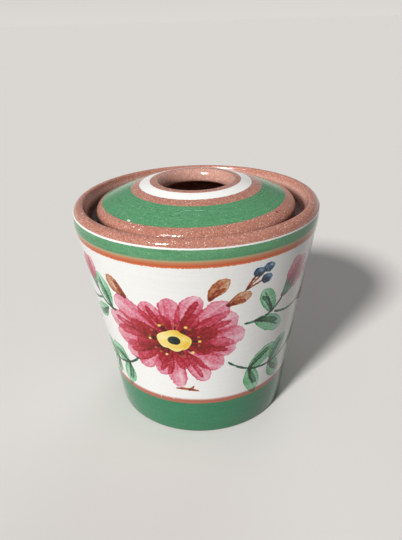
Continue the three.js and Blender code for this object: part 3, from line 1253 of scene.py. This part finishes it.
# %% Glazed slip on the lid
def lid_material():
    """Glazed slip rings: the same glaze, with bare clay in the throat, round the neck and at the edge."""
    made, tree = material_tree("glazed_slip_rings")
    place = node(tree, "ShaderNodeTexCoord").outputs["Object"]
    across = node(tree, "ShaderNodeSeparateXYZ", {0: place}).outputs["X"]
    sideways = node(tree, "ShaderNodeMath", {
        0: across, 1: 1 / (LID_RADIUS * MM),
    }, operation="MULTIPLY").outputs[0]
    radius = from_axis(tree, place)
    radius_mm = node(tree, "ShaderNodeMath", {0: radius, 1: 1 / MM}, operation="MULTIPLY").outputs[0]
    hand, fine = wavering(tree, place)
    clay = node(tree, "ShaderNodeGroup", node_tree=red_clay)
    bare, white = clay.outputs["Color"], paint(WHITE_SLIP[0])
    green = lid_green(tree, place, radius_mm, hand, clay)
    # The throat's clay is painted a shade paler: painted light.
    colours = (painted_paler_light(tree, bare), bare, white, bare, green, bare)
    rings = [(*edge, colour) for edge, colour in zip(RING_EDGES, colours)]
    ground = chipped_and_glinting(tree, banded(tree, radius_mm, fine, sideways, rings), place, LID_CHIPS_AND_GLINTS)
    lifts = [(*edge, lift) for edge, lift in zip(RING_EDGES, RING_LIFTS)]
    over = banded(tree, radius_mm, fine, sideways, lifts)
    # The lid's edge by the gallery gets painted shade.
    glaze_shader(tree, painted_gallery_shade(tree, ground, place), clay.outputs["Grain"], over)
    return made


lid_finish = lid_material()
print("nodes in the lid's finish", len(lid_finish.node_tree.nodes))

# %% [markdown]
# Inside, the jar is only clear-glazed, and the recess under the foot is bare fired clay,
# because glaze there would stick the pot to the kiln shelf. Both could share the wall's
# material with more masks, but the meeting lines are hidden, so separate materials are simpler.
# Bare clay is rough, with no coat, and looks dry beside the glaze.

# %% Clay with and without glaze
PALER_FADES_FROM_MM = 2.2
PALER_GONE_MM = 1
BARE_LIFT_MM = 0.08


def inside_material():
    """Clear glaze on clay: warm, glittering red, painted a shade paler below the rim as painted light and
    darker in the gallery as painted shade.
    """
    made, tree = material_tree("clear_glaze_on_clay")
    place = node(tree, "ShaderNodeTexCoord").outputs["Object"]
    clay = node(tree, "ShaderNodeGroup", node_tree=red_clay)
    height = node(tree, "ShaderNodeSeparateXYZ", {0: place}).outputs["Z"]
    # Below the rim the clay is painted a shade paler: painted light.
    near_rim = node(tree, "ShaderNodeMapRange", {
        "Value": height, "From Min": (JAR_TOP - PALER_FADES_FROM_MM) * MM,
        "From Max": (JAR_TOP - PALER_GONE_MM) * MM,
    })
    colour = node(tree, "ShaderNodeMix", {
        0: near_rim.outputs[0], "A": painted_paler_light(tree, clay.outputs["Color"]), "B": clay.outputs["Color"],
    }, data_type="RGBA").outputs["Result"]
    # The gallery's corner gets painted shade.
    glaze_shader(tree, painted_gallery_shade(tree, colour, place), clay.outputs["Grain"])
    return made


def bare_material():
    """Bare fired clay: dry, rough and without any highlight."""
    made, tree = material_tree("bare_fired_clay")
    clay = node(tree, "ShaderNodeGroup", node_tree=red_clay)
    bump = node(tree, "ShaderNodeBump", {"Height": clay.outputs["Grain"], "Distance": BARE_LIFT_MM * MM})
    shader = node(tree, "ShaderNodeBsdfPrincipled", {
        "Base Color": clay.outputs["Color"], "Roughness": 0.85, "Normal": bump.outputs[0],
    })
    node(tree, "ShaderNodeOutputMaterial", {"Surface": shader.outputs[0]})
    return made


inside_finish, bare_finish = inside_material(), bare_material()
print("finishes", [m.name for m in (wall_finish, lid_finish, inside_finish, bare_finish)])

# %% [markdown]
# A face takes its finish by where it is. The faces could be marked while the outline is
# turned, but their middles tell it as surely: well inside the wall's cone and below the crest
# of the rim is the inside, and the lowest faces within the foot ring are the underside.


# %% Which faces get which finish
def face_middles(mesh):
    """Radius and height in mm of the middle of each face."""
    middles = in_mm(mesh.polygons, "center")
    return np.hypot(middles[:, 0], middles[:, 1]), middles[:, 2]


def dress(piece, finishes, number):
    """Gives each face of a piece the finish with its number."""
    for finish in finishes:
        piece.data.materials.append(finish)
    piece.data.polygons.foreach_set("material_index", number)
    print(piece.name, "faces for each finish", np.bincount(number).tolist())


INSIDE_DEPTH = 1.5
CREST_ROLL = 1
GLAZE_STOPS_HEIGHT = 2
GLAZE_STOPS_RADIUS = FOOT_RADIUS - 0.9
radius, height = face_middles(jar.data)
inside = (radius < wall_radius(height) - INSIDE_DEPTH) & (height < JAR_TOP - CREST_ROLL)
underneath = (height < GLAZE_STOPS_HEIGHT) & (radius < GLAZE_STOPS_RADIUS)
dress(jar, (wall_finish, inside_finish, bare_finish), np.where(underneath, 2, np.where(inside, 1, 0)))

# %% The lid's top and underside
FLANGE_ROOT_HEIGHT = 79
HOLLOW_TOP = 83.9
radius, height = face_middles(lid.data)
below = (height < FLANGE_ROOT_HEIGHT) | (height < HOLLOW_TOP) & (radius < FLANGE_INNER)
dress(lid, (lid_finish, inside_finish), np.where(below, 1, 0))

# %% [markdown]
# Each turned piece stands for the CAD node of the same pot and moves with its body, so the lid
# lifts as the slide joint says. The CAD nodes are hidden, not deleted: they stay for collision.

# %% Handing the pieces to the frame
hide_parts("jar")
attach(jar, "jar")
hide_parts("lid")
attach(lid, "lid")
print("pieces handed over", jar.name, lid.name)

# %% [markdown]
# A wide pale floor runs out of sight. It could be a curved sweep as in a photo studio, but a
# plain disc needs no fitting. What the camera and the glaze see of it is paler than what
# lights the pot, which keeps the pot's far side in shade as in the photograph.


# %% The floor
def seen_ray(tree):
    """1 for rays from the camera, off the glaze or through it, and 0 for rays that light things."""
    ray = node(tree, "ShaderNodeLightPath").outputs
    seen = ray["Is Camera Ray"]
    for kind in ("Is Glossy Ray", "Is Transmission Ray"):
        seen = node(tree, "ShaderNodeMath", {0: seen, 1: ray[kind]}, operation="MAXIMUM").outputs[0]
    return seen


FLOOR_METRES = 60.0
FLOOR_COLOUR = "#DDDAD5"
FLOOR_FOR_LIGHT = "#848280"
bm = bmesh.new()
bmesh.ops.create_circle(bm, cap_ends=True, radius=FLOOR_METRES, segments=64)
floor = object_from(bm, "floor")
floor_paint, tree = material_tree("pale_floor")
shade = node(tree, "ShaderNodeMix", {
    0: seen_ray(tree), "A": paint(FLOOR_FOR_LIGHT), "B": paint(FLOOR_COLOUR),
}, data_type="RGBA")
matte = node(tree, "ShaderNodeBsdfDiffuse", {"Color": shade.outputs["Result"]})
node(tree, "ShaderNodeOutputMaterial", {"Surface": matte.outputs[0]})
floor.data.materials.append(floor_paint)

# %% [markdown]
# The main light is far off, from the upper left of the camera, and small enough for the glaze
# to show crisp lights. An area lamp close by would fall off across the pot, and a sun doesn't.
# A dim second light from behind gives the back its shape, and isn't mirrored in the glaze.


# %% Lights
def far_light(name, side, height, power, width, mirrored=True):
    """A light from far off. side is degrees round from the front, positive to the right."""
    light = bpy.data.lights.new(name, "SUN")
    light.energy = power
    light.angle = math.radians(width)
    holder = bpy.data.objects.new(name, light)
    holder.rotation_euler = (math.radians(90 - height), 0, math.radians(side))
    holder.visible_glossy = mirrored
    bpy.context.scene.collection.objects.link(holder)
    print(name, "light", height, "degrees up and", side, "degrees round, power", power)


far_light("key", side=-36, height=35, power=3.75, width=9)
far_light("back", side=160, height=40, power=0.4, width=30, mirrored=False)

# %% [markdown]
# The room has the floor's colour at the horizon, so the two meet without an edge, and is darker
# overhead. A painted backdrop would do from one side only. What lights the pot is the darker
# grey all round, a soft fill that leaves the shadows some depth.

# %% The room
HORIZON_COLOUR = "#DCD9D4"
ROOM_COLOUR = "#7C7C7E"
HORIZON_FADE = 0.22
world = bpy.data.worlds.new("room")
bpy.context.scene.world = world
world.use_nodes = True
world.node_tree.nodes.clear()
tree = world.node_tree
direction = node(tree, "ShaderNodeTexCoord").outputs["Generated"]
rise = node(tree, "ShaderNodeSeparateXYZ", {0: direction}).outputs["Z"]
above = node(tree, "ShaderNodeMapRange", {
    "Value": rise, "From Min": 0.0, "From Max": HORIZON_FADE,
}, interpolation_type="SMOOTHSTEP")
shown = node(tree, "ShaderNodeMix", {
    0: above.outputs[0], "A": paint(HORIZON_COLOUR), "B": paint(ROOM_COLOUR),
}, data_type="RGBA")
room = node(tree, "ShaderNodeMix", {
    0: seen_ray(tree), "A": paint(ROOM_COLOUR), "B": shown.outputs["Result"],
}, data_type="RGBA")
background = node(tree, "ShaderNodeBackground", {"Color": room.outputs["Result"], "Strength": 1.0})
node(tree, "ShaderNodeOutputWorld", {"Surface": background.outputs[0]})
print("the room fades to its own grey", round(math.degrees(math.asin(HORIZON_FADE))), "degrees up")

# %% [markdown]
# The camera stands where the photograph was taken from: close, and about 29 degrees up as seen
# from the middle of the pot. The distance, the lens and the small turns were worked out from
# how the round bands of the pot look as ellipses. A Track To constraint could aim it, but it
# can't give the slight roll of a camera held in the hand.

# %% Camera
CAMERA_ELEVATION = math.radians(29.38)
CAMERA_DISTANCE_MM = 207.8
AIM_HEIGHT_MM = 38.25
LENS_MM = 34.14
CLIP_START_METRES = 0.01
TURN_Y, TURN_X, ROLL = (math.radians(a) for a in (0.30, -3.35, 1.93))
photo_camera = bpy.data.cameras.new("camera")
photo_camera.lens = LENS_MM
photo_camera.clip_start = CLIP_START_METRES
camera = bpy.data.objects.new("camera", photo_camera)
turn = Matrix.Rotation(math.pi / 2 - CAMERA_ELEVATION, 4, "X")
for angle, axis in ((-TURN_Y, "Y"), (-TURN_X, "X"), (-ROLL, "Z")):
    turn = turn @ Matrix.Rotation(angle, 4, axis)
stand = (
    0,
    -CAMERA_DISTANCE_MM * MM * math.cos(CAMERA_ELEVATION),
    (AIM_HEIGHT_MM + CAMERA_DISTANCE_MM * math.sin(CAMERA_ELEVATION)) * MM,
)
camera.matrix_world = Matrix.Translation(stand) @ turn
bpy.context.scene.collection.objects.link(camera)
bpy.context.scene.camera = camera
bpy.context.scene.view_settings.view_transform = "Standard"
print("the camera is", round(stand[2] / MM), "mm above the floor")

# %% [markdown]
# The fine pots must fill the same space as the CAD solids.
